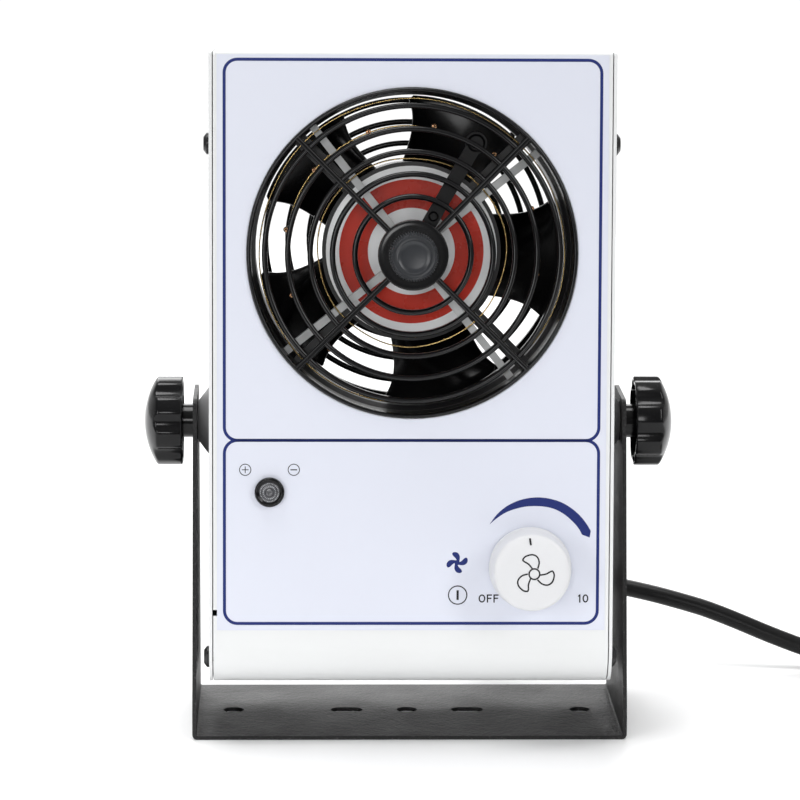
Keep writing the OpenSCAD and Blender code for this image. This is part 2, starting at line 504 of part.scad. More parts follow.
module pivot_nuts() color([0.7, 0.7, 0.7]) in_housing() for (s = [-1, 1]) mirror([s < 0 ? 1 : 0, 0, 0])
  along_x(half_w - sheet_t - 7, 0, 0) tube(4.05, 8, 7);

// ---------- clamp knobs: local z points outward, zero on the arm's outer face ----------
module clamp_knob_solid() difference() {
  intersection() {
    union() {
      cylinder(r = 6.5, h = 5);
      translate([0, 0, 4]) cylinder(r = clamp_r, h = 14.8);
    }
    union() {
      cylinder(r = 12, h = 5);
      translate([0, 0, 4 - eps]) cylinder(r1 = clamp_r - 0.7, r2 = clamp_r, h = 0.7 + eps);
      translate([0, 0, 4.7 - 2 * eps]) cylinder(r = clamp_r, h = 9.3);
      intersection() { translate([0, 0, 13.9]) cylinder(r = clamp_r, h = 6); translate([0, 0, 18.8 - 31.5]) sphere(r = 31.5, $fn = 96); }
    }
  }
  for (k = [0:lobes-1]) rotate([0, 0, (k + 0.5) * 360 / lobes]) translate([clamp_r + 3.4, 0, 3]) cylinder(r = 5.0, h = 20);
  translate([0, 0, -1]) cylinder(r = 4.02, h = 12);
}
module right_place() in_housing() along_x(bracket_w / 2 + 0.1, 0, 0) children();
module left_place() in_housing() mirror([1, 0, 0]) along_x(bracket_w / 2 + 0.1, 0, 0) children();
stud_in = bracket_w / 2 + 0.1 - (half_w - sheet_t - 6);
module right_clamp_knob() color([0.02, 0.02, 0.02]) right_place() rotate([0, 0, 10]) clamp_knob_solid();
module left_clamp_knob() color([0.02, 0.02, 0.02]) left_place() rotate([0, 0, 22]) clamp_knob_solid();
module right_clamp_stud() color([0.7, 0.7, 0.7]) right_place() translate([0, 0, -stud_in]) cylinder(r = 4.0, h = stud_in + 10.5);
module left_clamp_stud() color([0.7, 0.7, 0.7]) left_place() translate([0, 0, -stud_in]) cylinder(r = 4.0, h = stud_in + 10.5);

// ---------- mains cord ----------
module cord_relief() color([0.04, 0.04, 0.04]) on_back(30, -76) union() {
  cylinder(r = 8.5, h = 2.5);
  translate([0, 0, -4]) cylinder(r = 5.9, h = 4 + eps);
  translate([0, 0, 2.5 - eps]) cylinder(r1 = 6.6, r2 = 4.1, h = 27.5 + eps);
}
module gland_nut() color([0.05, 0.05, 0.05]) on_back(30, -76) translate([0, 0, -sheet_t - 3.2]) tube(5.95, 8.5, 3.2);
// the cord's route over the bench: out of the relief, round to the right and down
route = [[30, 66.8, 35.15], [30.2, 73, 34.7], [32, 80, 34.4], [36, 87.5, 34.3], [42, 93.5, 34.3], [50, 97.2, 34.3], [59, 98, 34],
  [68, 96.6, 33.4], [80, 93.8, 32], [92, 91, 30.3], [104, 88.2, 28.1], [114, 86, 25.8], [124, 83.8, 23.2], [133, 81.7, 20.2],
  [141, 79.9, 17.2], [149, 78.2, 14.1], [157, 76.6, 11.2], [165, 75.2, 8.5], [174, 73.9, 6], [184, 72.8, 4.3], [194, 72.2, 3.6], [203, 72, 3.5]];
// the free end: out of the coil and round to the plug
tail = [[254, 33, 10.5], [254, 22, 9.6], [252.8, 10, 8], [249.5, -2, 6.6], [244, -13, 5.8], [236, -23, 5.8], [226, -31, 7], [215, -36.6, 8.8], [206, -39, 10]];
module power_cord() color([0.03, 0.03, 0.03]) swept(route, cord_d / 2);
coil_x = 214;
coil_y = 32;
module cord_coil() color([0.03, 0.03, 0.03]) translate([coil_x, coil_y, 0])
  rotate_extrude() translate([coil_r - cord_d, 0]) square([2 * cord_d, 16]);
module cord_tail() color([0.03, 0.03, 0.03]) swept(tail, cord_d / 2);
module plug_body() color([0.03, 0.03, 0.03]) translate([206, -39, 0]) rotate([0, -90, 0]) union() {
  translate([10, 0, 0]) cylinder(r1 = 4.4, r2 = 6.5, h = 14);
  translate([0, -13, 12]) cube([20, 26, 20]);
}
module plug_pins() color([0.8, 0.7, 0.4]) union() {
  for (s = [-1, 1]) translate([174 - 15.5, -39 - 9.1, 10 + s * 6.35 - 0.75]) cube([15.5, 6.3, 1.5]);
  translate([174 - 18, -39 + 6, 10]) rotate([0, 90, 0]) cylinder(r = 2.4, h = 18);
}

bracket();
pivot_spacers();
front_shell();
rear_shell();
front_label();
front_guard();
rear_guard();
duct_ring();
fan_frame();
motor_label();
motor_stator();
motor_bearings();
rotor_cup();
fan_impeller();
fan_shaft();
emitter_frame();
emitter_wires();
emitter_needles();
brush_knob();
brush_shaft();
brush_arm();
brush_rivet();
brush_tuft();
lamp_bezel();
lamp_lens();
lamp_body();
lamp_nut();
speed_knob();
speed_pot();
pot_shaft();
pot_nut();
control_board();
board_spacers();
board_parts();
hv_module();
hv_screws();
hv_lead();
fan_lead();
mains_lead();
side_screws();
guard_screws();
guard_nuts();
weld_studs();
stud_nuts();
pivot_nuts();
left_clamp_knob();
left_clamp_stud();
right_clamp_knob();
right_clamp_stud();
cord_relief();
gland_nut();
power_cord();
cord_coil();
cord_tail();
plug_body();
plug_pins();
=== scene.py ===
import json
import math
import random

import bmesh
import bpy
from mathutils import Matrix, Vector


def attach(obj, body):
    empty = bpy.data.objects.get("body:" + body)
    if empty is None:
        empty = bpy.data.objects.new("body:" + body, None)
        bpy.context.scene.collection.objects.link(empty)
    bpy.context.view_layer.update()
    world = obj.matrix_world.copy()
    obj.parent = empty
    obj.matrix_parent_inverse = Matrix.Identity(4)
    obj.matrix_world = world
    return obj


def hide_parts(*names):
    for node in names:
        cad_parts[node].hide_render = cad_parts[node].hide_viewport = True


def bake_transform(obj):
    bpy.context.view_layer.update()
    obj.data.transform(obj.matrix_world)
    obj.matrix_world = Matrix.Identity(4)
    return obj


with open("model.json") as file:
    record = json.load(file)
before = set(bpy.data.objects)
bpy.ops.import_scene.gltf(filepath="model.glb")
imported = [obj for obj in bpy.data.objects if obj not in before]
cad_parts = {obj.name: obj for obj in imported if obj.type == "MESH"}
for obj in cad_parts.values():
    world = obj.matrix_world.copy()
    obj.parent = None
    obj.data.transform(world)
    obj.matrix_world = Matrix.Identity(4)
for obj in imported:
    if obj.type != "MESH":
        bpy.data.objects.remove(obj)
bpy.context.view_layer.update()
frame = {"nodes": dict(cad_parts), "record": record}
NODES = frame["nodes"]
MM = 0.001
rnd = random.Random(7)

# ------------------------------------------------------------------ camera
def rot(axis, deg):
    return Matrix.Rotation(math.radians(deg), 3, axis)


R = rot("Z", -1.6005) @ rot("X", -9.7005) @ rot("Y", -0.3242)
right, fwd, up = R.col[0], R.col[1], R.col[2]
cam_data = bpy.data.cameras.new("camera")
cam = bpy.data.objects.new("camera", cam_data)
bpy.context.scene.collection.objects.link(cam)
m = Matrix((right, up, -fwd)).transposed().to_4x4()
m.translation = Vector((-45.709, -1517.194, 383.434)) * MM
cam.matrix_world = m
cam_data.sensor_width = 36.0
cam_data.lens = 180.0
cam_data.clip_start, cam_data.clip_end = 0.05, 30.0
bpy.context.scene.camera = cam

# ------------------------------------------------------------------ frames
TILT = 4.0
MH = Matrix.Translation((0, 0, 0.116)) @ Matrix.Rotation(math.radians(-TILT), 4, "X") @ Matrix.Scale(MM, 4)
YF, YB = -42.0, 42.0


def face(x, z, a=0.0):
    """Local z points forward out of the front face, local x right, local y up; in millimetres."""
    return MH @ Matrix.Translation((x, YF, z)) @ Matrix.Rotation(math.radians(90), 4, "X") @ Matrix.Rotation(math.radians(a), 4, "Z")


def back(x, z, a=0.0):
    return MH @ Matrix.Translation((x, YB, z)) @ Matrix.Rotation(math.radians(-90), 4, "X") @ Matrix.Rotation(math.radians(a), 4, "Z")


def side(x, y, z, sgn=1, a=0.0):
    """Local z points out of the right (sgn 1) or left (sgn -1) side."""
    return MH @ Matrix.Translation((x, y, z)) @ Matrix.Rotation(math.radians(90 * sgn), 4, "Y") @ Matrix.Rotation(math.radians(a), 4, "Z")


WORLD = Matrix.Scale(MM, 4)
FAN_Z = 67.0

# ------------------------------------------------------------------ materials
def mat(name, base, rough=0.5, metal=0.0, spec=0.5, coat=0.0, coat_rough=0.1, tone=0.06, tone_scale=25.0,
        grain=0.0, grain_scale=1500.0, grain_dist=0.00008, wave=0.0, wave_scale=20.0, rough_var=0.0, second=None,
        speck=None, speck_scale=600.0, speck_at=0.72, sheen=0.0, ior=1.45, transmission=0.0, emission=None, grain2=0.0, grain2_scale=300.0):
    m = bpy.data.materials.new(name)
    m.use_nodes = True
    nt = m.node_tree
    b = nt.nodes["Principled BSDF"]
    b.inputs["Roughness"].default_value = rough
    b.inputs["Metallic"].default_value = metal
    b.inputs["Specular IOR Level"].default_value = spec
    b.inputs["Coat Weight"].default_value = coat
    b.inputs["Coat Roughness"].default_value = coat_rough
    b.inputs["IOR"].default_value = ior
    b.inputs["Transmission Weight"].default_value = transmission
    if sheen:
        b.inputs["Sheen Weight"].default_value = sheen
    tc = nt.nodes.new("ShaderNodeTexCoord")
    n1 = nt.nodes.new("ShaderNodeTexNoise")
    n1.inputs["Scale"].default_value = tone_scale
    n1.inputs["Detail"].default_value = 6
    nt.links.new(tc.outputs["Object"], n1.inputs["Vector"])
    mix = nt.nodes.new("ShaderNodeMix")
    mix.data_type = "RGBA"
    lo = [max(0, c * (1 - tone)) for c in base]
    hi = [min(1, c * (1 + tone)) for c in (second or base)]
    mix.inputs[6].default_value = (*lo, 1)
    mix.inputs[7].default_value = (*hi, 1)
    nt.links.new(n1.outputs["Fac"], mix.inputs[0])
    colour = mix.outputs[2]
    if speck:
        n3 = nt.nodes.new("ShaderNodeTexNoise")
        n3.inputs["Scale"].default_value = speck_scale
        n3.inputs["Detail"].default_value = 2
        nt.links.new(tc.outputs["Object"], n3.inputs["Vector"])
        ramp = nt.nodes.new("ShaderNodeValToRGB")
        ramp.color_ramp.elements[0].position = speck_at - 0.06
        ramp.color_ramp.elements[1].position = speck_at + 0.06
        nt.links.new(n3.outputs["Fac"], ramp.inputs["Fac"])
        mx = nt.nodes.new("ShaderNodeMix")
        mx.data_type = "RGBA"
        nt.links.new(ramp.outputs["Color"], mx.inputs[0])
        nt.links.new(colour, mx.inputs[6])
        mx.inputs[7].default_value = (*speck, 1)
        colour = mx.outputs[2]
    nt.links.new(colour, b.inputs["Base Color"])
    if rough_var:
        mr = nt.nodes.new("ShaderNodeMapRange")
        mr.inputs["To Min"].default_value = max(0.02, rough - rough_var)
        mr.inputs["To Max"].default_value = min(1, rough + rough_var)
        nt.links.new(n1.outputs["Fac"], mr.inputs["Value"])
        nt.links.new(mr.outputs["Result"], b.inputs["Roughness"])
    height = None
    if grain:
        n2 = nt.nodes.new("ShaderNodeTexNoise")
        n2.inputs["Scale"].default_value = grain_scale
        n2.inputs["Detail"].default_value = 3
        nt.links.new(tc.outputs["Object"], n2.inputs["Vector"])
        bump = nt.nodes.new("ShaderNodeBump")
        bump.inputs["Strength"].default_value = grain
        bump.inputs["Distance"].default_value = grain_dist
        src = n2.outputs["Fac"]
        if grain2:
            n4 = nt.nodes.new("ShaderNodeTexNoise")
            n4.inputs["Scale"].default_value = grain2_scale
            n4.inputs["Detail"].default_value = 2
            nt.links.new(tc.outputs["Object"], n4.inputs["Vector"])
            add = nt.nodes.new("ShaderNodeMath")
            add.operation = "MULTIPLY_ADD"
            add.inputs[1].default_value = grain2
            nt.links.new(n4.outputs["Fac"], add.inputs[0])
            nt.links.new(src, add.inputs[2])
            src = add.outputs[0]
        nt.links.new(src, bump.inputs["Height"])
        nt.links.new(bump.outputs["Normal"], b.inputs["Normal"])
    if emission:
        b.inputs["Emission Color"].default_value = (*emission, 1)
        b.inputs["Emission Strength"].default_value = 0.6
    return m


M = {
    "black_powder": mat("black_powder_coat", (0.0075, 0.0074, 0.0077), 0.46, spec=0.34, tone=0.30, tone_scale=45, second=(0.013, 0.0127, 0.013), grain=1.0, grain_scale=850, grain_dist=0.00032, speck=(0.060, 0.059, 0.060), speck_scale=1100, speck_at=0.67, rough_var=0.12, grain2=1.0, grain2_scale=300),
    "white_powder": mat("white_powder_coat", (0.79, 0.80, 0.80), 0.42, spec=0.4, tone=0.012, tone_scale=18, grain=0.16, grain_scale=1400, grain_dist=0.00006, rough_var=0.04, grain2=0.5, grain2_scale=500),
    "label_film": mat("label_film", (0.715, 0.738, 0.828), 0.36, spec=0.4, coat=0.25, coat_rough=0.3, tone=0.008, tone_scale=14, grain=0.10, grain_scale=2200, grain_dist=0.00004, rough_var=0.03),
    "navy_ink": mat("navy_ink", (0.014, 0.026, 0.15), 0.42, spec=0.3, tone=0.05, tone_scale=300, grain=0.1, grain_scale=3000, grain_dist=0.00002),
    "black_ink": mat("black_ink", (0.012, 0.012, 0.014), 0.5, spec=0.3, tone=0.08, tone_scale=400, grain=0.1, grain_scale=3000, grain_dist=0.00002),
    "black_gloss": mat("black_gloss_moulding", (0.003, 0.003, 0.0035), 0.11, spec=0.42, tone=0.15, tone_scale=60, grain=0.06, grain_scale=700, grain_dist=0.00004, rough_var=0.04),
    "black_plastic": mat("black_satin_moulding", (0.018, 0.018, 0.019), 0.36, spec=0.5, tone=0.12, tone_scale=80, grain=0.25, grain_scale=2200, grain_dist=0.00005, rough_var=0.06),
    "blade_black": mat("blade_black", (0.0025, 0.0025, 0.003), 0.18, spec=0.36, tone=0.15, tone_scale=50, grain=0.08, grain_scale=500, grain_dist=0.00004, rough_var=0.05),
    "white_plastic": mat("white_fine_grain", (0.73, 0.735, 0.75), 0.40, spec=0.42, tone=0.01, tone_scale=60, grain=0.3, grain_scale=2600, grain_dist=0.00005, rough_var=0.04),
    "grey_plastic": mat("light_grey_moulding", (0.55, 0.56, 0.56), 0.36, tone=0.05, tone_scale=90, grain=0.2, grain_scale=1800, grain_dist=0.00005, rough_var=0.05),
    "lens": mat("clouded_lens", (0.045, 0.047, 0.05), 0.20, spec=0.6, tone=0.25, tone_scale=500, coat=0.5, coat_rough=0.05, second=(0.10, 0.10, 0.11), grain=0.3, grain_scale=1500, grain_dist=0.0001, ior=1.5),
    "foil": mat("foil_disc", (0.84, 0.85, 0.86), 0.34, metal=0.05, tone=0.05, tone_scale=90, grain=0.12, grain_scale=900, grain_dist=0.00004, rough_var=0.06),
    "red_ink": mat("red_ink", (0.52, 0.024, 0.008), 0.28, spec=0.4, tone=0.18, tone_scale=110, grain=0.1, grain_scale=1500, grain_dist=0.00003, rough_var=0.05),
    "steel": mat("zinc_steel", (0.55, 0.55, 0.56), 0.30, metal=1.0, tone=0.10, tone_scale=200, grain=0.25, grain_scale=1600, grain_dist=0.00005, rough_var=0.10),
    "black_steel": mat("black_oxide", (0.018, 0.018, 0.019), 0.30, metal=0.35, tone=0.2, tone_scale=300, grain=0.2, grain_scale=1800, grain_dist=0.00005, rough_var=0.08),
    "brass_wire": mat("bright_brass", (0.80, 0.58, 0.24), 0.22, metal=1.0, tone=0.08, tone_scale=400, grain=0.1, grain_scale=3000, grain_dist=0.00002, rough_var=0.06),
    "copper": mat("copper_needle", (0.86, 0.50, 0.28), 0.25, metal=1.0, tone=0.12, tone_scale=900, grain=0.1, grain_scale=3000, grain_dist=0.00002, rough_var=0.06),
    "windings": mat("windings", (0.45, 0.17, 0.06), 0.35, metal=0.8, tone=0.2, tone_scale=600, grain=0.5, grain_scale=900, grain_dist=0.0002, rough_var=0.08),
    "pcb": mat("solder_mask", (0.02, 0.13, 0.06), 0.35, tone=0.15, tone_scale=300, grain=0.2, grain_scale=900, grain_dist=0.00005, coat=0.3),
    "cord_rubber": mat("cord_sheath", (0.004, 0.004, 0.0042), 0.36, spec=0.26, tone=0.12, tone_scale=50, grain=0.2, grain_scale=1200, grain_dist=0.00005, rough_var=0.05),
    "lead": mat("lead_sheath", (0.20, 0.03, 0.025), 0.42, tone=0.1, tone_scale=100, grain=0.15, grain_scale=1500, grain_dist=0.00004),
    "bristle": mat("nylon_bristle", (0.32, 0.28, 0.22), 0.5, tone=0.2, tone_scale=900, grain=0.3, grain_scale=2500, grain_dist=0.00005),
    "lens_bright": mat("lens_bright", (0.42, 0.43, 0.45), 0.25, spec=0.6, tone=0.08, tone_scale=600, grain=0.05, grain_scale=1500, grain_dist=0.00002),
    "cone_metal": mat("cone_metal", (0.40, 0.40, 0.405), 0.42, metal=0.35, tone=0.08, tone_scale=120, grain=0.15, grain_scale=1500, grain_dist=0.00004, rough_var=0.06),
    "arm_black": mat("arm_black", (0.0025, 0.0025, 0.003), 0.30, spec=0.28, tone=0.12, tone_scale=120, grain=0.2, grain_scale=2200, grain_dist=0.00004, rough_var=0.05),
    "guard_black": mat("guard_black", (0.0035, 0.0035, 0.004), 0.17, spec=0.42, tone=0.12, tone_scale=70, grain=0.10, grain_scale=1800, grain_dist=0.00003, rough_var=0.04),
    "knob_satin": mat("knob_satin", (0.024, 0.026, 0.030), 0.30, spec=0.5, tone=0.15, tone_scale=160, grain=0.2, grain_scale=2400, grain_dist=0.00004, rough_var=0.05),
    "knob_gloss": mat("knob_gloss", (0.0035, 0.0035, 0.004), 0.15, spec=0.34, coat=0.0, tone=0.15, tone_scale=60, grain=0.06, grain_scale=500, grain_dist=0.00005, rough_var=0.03),
    "floor": mat("floor", (0.90, 0.902, 0.905), 0.5, spec=0.3, tone=0.006, tone_scale=3, grain=0.03, grain_scale=120, grain_dist=0.0002),
}
for s in frame["record"]["subparts"]:
    o = NODES[s["node"]]
    o.data.materials.clear()
    o.data.materials.append(M[s["material_slot"]])

for node, key in (("pivot_spacers", "cone_metal"), ("brush_arm", "arm_black"), ("brush_rivet", "arm_black")):
    NODES[node].data.materials.clear()
    NODES[node].data.materials.append(M[key])

# ------------------------------------------------------------------ mesh helpers
def new_obj(name, verts, faces, xf, material, smooth=35.0, slots=None):
    me = bpy.data.meshes.new(name)
    me.from_pydata([tuple(v) for v in verts], [], faces)
    me.transform(xf)
    if xf.determinant() < 0:
        me.flip_normals()
    me.validate()
    for mm in (material if isinstance(material, (list, tuple)) else [material]):
        me.materials.append(mm)
    ob = bpy.data.objects.new(name, me)
    bpy.context.scene.collection.objects.link(ob)
    if slots:
        me.polygons.foreach_set("material_index", slots)
    if smooth is not None:
        shade(ob, smooth)
    return ob


def shade(ob, deg=35.0):
    me = ob.data
    me.polygons.foreach_set("use_smooth", [True] * len(me.polygons))
    bm = bmesh.new()
    bm.from_mesh(me)
    lim = math.radians(deg)
    for e in bm.edges:
        e.smooth = not (len(e.link_faces) != 2 or e.calc_face_angle(0) > lim)
    bm.to_mesh(me)
    bm.free()


def lathe(profile, n=96, close=True, radius=None):
    """Closed or open (r, z) profile turned about z; radius(theta, r, z) may bend it."""
    v, f = [], []
    k = len(profile)
    for i in range(n):
        a = 2 * math.pi * i / n
        for r, z in profile:
            q = radius(a, r, z) if radius else r
            v.append((q * math.cos(a), q * math.sin(a), z))
    for i in range(n):
        j = (i + 1) % n
        for a in range(k if close else k - 1):
            b = (a + 1) % k
            f.append((i * k + a, j * k + a, j * k + b, i * k + b))
    if not close:
        f.append(tuple(i * k for i in range(n))[::-1])
        f.append(tuple(i * k + k - 1 for i in range(n)))
    return v, f


def sweep(points, r, n=16, closed=False, cap=True, ref=Vector((0, 0, 1))):
    pts = [Vector(p) for p in points]
    k = len(pts)
    v, f = [], []
    t0 = None
    for i, p in enumerate(pts):
        a = pts[(i - 1) % k] if closed or i else p
        b = pts[(i + 1) % k] if closed or i < k - 1 else p
        t = (b - a).normalized()
        if t0 is None:
            u = t.cross(ref)
            if u.length < 1e-6:
                u = t.cross(Vector((1, 0, 0)))
            u.normalize()
        else:
            u = (u - t * u.dot(t)).normalized()
        t0 = t
        w = t.cross(u)
        rr = r(i) if callable(r) else r
        for j in range(n):
            ang = 2 * math.pi * j / n
            v.append(p + rr * (math.cos(ang) * u + math.sin(ang) * w))
    for i in range(k if closed else k - 1):
        i2 = (i + 1) % k
        for j in range(n):
            j2 = (j + 1) % n
            f.append((i * n + j, i * n + j2, i2 * n + j2, i2 * n + j))
    if cap and not closed:
        f.append(tuple(range(n))[::-1])
        f.append(tuple((k - 1) * n + j for j in range(n)))
    return v, f


def prism(outline, z0, z1, bev=0.0):
    """Convex or star-shaped outline (list of (x, y)) extruded from z0 to z1, top and bottom edges chamfered by bev."""
    n = len(outline)
    cx = sum(p[0] for p in outline) / n
    cy = sum(p[1] for p in outline) / n

    def inset(d):
        out = []
        for i in range(n):
            p0, p1, p2 = Vector(outline[i - 1]), Vector(outline[i]), Vector(outline[(i + 1) % n])
            e1, e2 = (p1 - p0).normalized(), (p2 - p1).normalized()
            nn = Vector((-(e1.y + e2.y), e1.x + e2.x))
            if nn.length < 1e-9:
                nn = Vector((-e1.y, e1.x))
            nn.normalize()
            c = max(0.3, nn.dot(Vector((-e1.y, e1.x))))
            q = p1 + nn * d / c
            out.append((q.x, q.y))
        return out

    rings = [(outline, z0, 0)] if not bev else []
    if bev:
        ins = inset(bev)
        rings = [(ins, z0), (outline, z0 + bev), (outline, z1 - bev), (ins, z1)]
    else:
        rings = [(outline, z0), (outline, z1)]
    v, f = [], []
    for o, z in rings:
        v += [(x, y, z) for x, y in o]
    for a in range(len(rings) - 1):
        for i in range(n):
            j = (i + 1) % n
            f.append((a * n + i, a * n + j, (a + 1) * n + j, (a + 1) * n + i))
    f.append(tuple(range(n))[::-1])
    f.append(tuple((len(rings) - 1) * n + i for i in range(n)))
    return v, f


def join(parts):
    v, f = [], []
    for pv, pf in parts:
        k = len(v)
        v += [tuple(p) for p in pv]
        f += [tuple(i + k for i in q) for q in pf]
    return v, f


def moved(part, xf):
    v, f = part
    return [xf @ Vector(p) for p in v], f


def place(name, part, xf, material, body, replaces=(), smooth=35.0, bevel=None):
    ob = new_obj(name, part[0], part[1], xf, material, smooth)
    bm = bmesh.new()
    bm.from_mesh(ob.data)
    bmesh.ops.recalc_face_normals(bm, faces=bm.faces)
    bm.to_mesh(ob.data)
    bm.free()
    if bevel:
        md = ob.modifiers.new("bevel", "BEVEL")
        md.width = bevel * MM
        md.segments = 2
        md.limit_method = "ANGLE"
        md.angle_limit = math.radians(40)
    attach(ob, body)
    if replaces:
        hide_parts(*replaces)
    return ob


def bevel_cad(node, width, segments=2, angle=32):
    md = NODES[node].modifiers.new("bevel", "BEVEL")
    md.width = width * MM
    md.segments = segments
    md.limit_method = "ANGLE"
    md.angle_limit = math.radians(angle)
    md.harden_normals = False


# ------------------------------------------------------------------ mains cord
ROUTE = [(30, 66.8, 35.15), (30.2, 73, 34.7), (32, 80, 34.4), (36, 87.5, 34.3), (42, 93.5, 34.3), (50, 97.2, 34.3), (59, 98, 34),
         (68, 96.6, 33.4), (80, 93.8, 32), (92, 91, 30.3), (104, 88.2, 28.1), (114, 86, 25.8), (124, 83.8, 23.2), (133, 81.7, 20.2),
         (141, 79.9, 17.2), (149, 78.2, 14.1), (157, 76.6, 11.2), (165, 75.2, 8.5), (174, 73.9, 6), (184, 72.8, 4.3), (194, 72.2, 3.6)]
COIL = (214.0, 32.0)
TAIL = [(252.8, 10, 8), (249.5, -2, 6.6), (244, -13, 5.8), (236, -23, 5.8), (226, -31, 7), (215, -36.6, 8.8), (206, -39, 10)]


def coil_points():
    """Four and a quarter turns, clockwise from above: two turns on the bench, then two on top of them."""
    out = []
    turns, per = 4.25, 40
    total = int(turns * per)
    for i in range(total + 1):
        t = i / per
        a = math.radians(90 - 360 * t)
        lay = min(1, max(0, (t - 1.85) / 0.3))
        lay = lay * lay * (3 - 2 * lay)
        if t < 2:
            off = -3.55 + 7.1 * min(1, max(0, (t - 0.85) / 0.3))
        else:
            off = 3.55 - 7.1 * min(1, max(0, (t - 2.85) / 0.3))
            if t > 3.9:
                off = -3.55 + 3.55 * min(1, (t - 3.9) / 0.35)
        r = 40 + off
        z = 3.5 + 7.1 * lay
        out.append((COIL[0] + r * math.cos(a), COIL[1] + r * math.sin(a), z))
    return out


def smooth_path(pts, step):
    """Catmull-Rom through the points, resampled at an even step."""
    p = [Vector(q) for q in pts]
    dense = []
    for i in range(len(p) - 1):
        a, b, c, d = p[max(i - 1, 0)], p[i], p[i + 1], p[min(i + 2, len(p) - 1)]
        for k in range(12):
            t = k / 12
            dense.append(0.5 * ((2 * b) + (c - a) * t + (2 * a - 5 * b + 4 * c - d) * t * t + (3 * b - a - 3 * c + d) * t ** 3))
    dense.append(p[-1])
    out = [dense[0]]
    need = step
    for i in range(len(dense) - 1):
        seg = dense[i + 1] - dense[i]
        L = seg.length
        pos = 0.0
        while L - pos >= need:
            pos += need
            out.append(dense[i] + seg * (pos / L))
            need = step
        need -= L - pos
    if (out[-1] - dense[-1]).length > step * 0.3:
        out.append(dense[-1])
    else:
        out[-1] = dense[-1]
    return out


cord_pts = smooth_path(ROUTE + coil_points()[2:-1:2] + TAIL, 3.0)
cord_len = sum((cord_pts[i + 1] - cord_pts[i]).length for i in range(len(cord_pts) - 1)) * MM
v, f = sweep(cord_pts, 3.45, 20)
cord = new_obj("mains_cord", v, f, WORLD, M["cord_rubber"], 40)
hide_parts("power_cord", "cord_coil", "cord_tail")
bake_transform(cord)
print("cord length", cord_len)

# ------------------------------------------------------------------ printed line art on the label
def ribbon(points, w, z0, z1, closed=False):
    """A flat line of width w through 2-D points, from z0 to z1."""
    pts = [Vector((p[0], p[1])) for p in points]
    n = len(pts)
    left, rightp = [], []
    for i, p in enumerate(pts):
        a = pts[(i - 1) % n] if closed or i else p
        b = pts[(i + 1) % n] if closed or i < n - 1 else p
        d1 = (p - a).normalized() if (p - a).length > 1e-9 else (b - p).normalized()
        d2 = (b - p).normalized() if (b - p).length > 1e-9 else d1
        nn = Vector((-(d1.y + d2.y), d1.x + d2.x))
        nn = nn.normalized() if nn.length > 1e-6 else Vector((-d1.y, d1.x))
        c = max(0.5, nn.dot(Vector((-d1.y, d1.x))))
        ww = (w(i) if callable(w) else w) / 2 / c
        left.append(p + nn * ww)
        rightp.append(p - nn * ww)
    v = []
    for z in (z0, z1):
        v += [(q.x, q.y, z) for q in left] + [(q.x, q.y, z) for q in rightp]
    f = []
    k = 2 * n
    for i in range(n if closed else n - 1):
        j = (i + 1) % n
        f.append((k + i, k + j, k + n + j, k + n + i))
        f.append((i, n + i, n + j, j))
        f.append((i, j, k + j, k + i))
        f.append((n + i, k + n + i, k + n + j, n + j))
    if not closed:
        f.append((0, k, k + n, n))
        f.append((n - 1, n + n - 1, k + n + n - 1, k + n - 1))
    return v, f


def flat(outline, z0, z1):
    """Any simple outline filled flat, from z0 to z1."""
    from mathutils.geometry import tessellate_polygon
    n = len(outline)
    tri = tessellate_polygon([[Vector((x, y, 0)) for x, y in outline]])
    v = [(x, y, z0) for x, y in outline] + [(x, y, z1) for x, y in outline]
    f = [tuple(t) for t in tri] + [tuple(i + n for i in t) for t in tri]
    f += [(i, (i + 1) % n, n + (i + 1) % n, n + i) for i in range(n)]
    return v, f


def arc(cx, cy, r, a0, a1, n=16, ry=None):
    ry = ry or r
    return [(cx + r * math.cos(math.radians(a0 + (a1 - a0) * i / n)), cy + ry * math.sin(math.radians(a0 + (a1 - a0) * i / n))) for i in range(n + 1)]


def rounded(x0, x1, y0, y1, r, n=10):
    return (arc(x1 - r, y1 - r, r, 0, 90, n) + arc(x0 + r, y1 - r, r, 90, 180, n)
            + arc(x0 + r, y0 + r, r, 180, 270, n) + arc(x1 - r, y0 + r, r, 270, 360, n))


def shift(pts, dx, dy):
    return [(x + dx, y + dy) for x, y in pts]


def spline(pts, per=8, closed=True):
    n = len(pts)
    p = [Vector(q) for q in pts]
    out = []
    for i in range(n if closed else n - 1):
        if closed:
            a, b, c, d = p[(i - 1) % n], p[i], p[(i + 1) % n], p[(i + 2) % n]
        else:
            a, b, c, d = p[max(i - 1, 0)], p[i], p[i + 1], p[min(i + 2, n - 1)]
        for k in range(per):
            t = k / per
            q = 0.5 * ((2 * b) + (c - a) * t + (2 * a - 5 * b + 4 * c - d) * t * t + (3 * b - a - 3 * c + d) * t ** 3)
            out.append((q.x, q.y))
    if not closed:
        out.append((p[-1].x, p[-1].y))
    return out


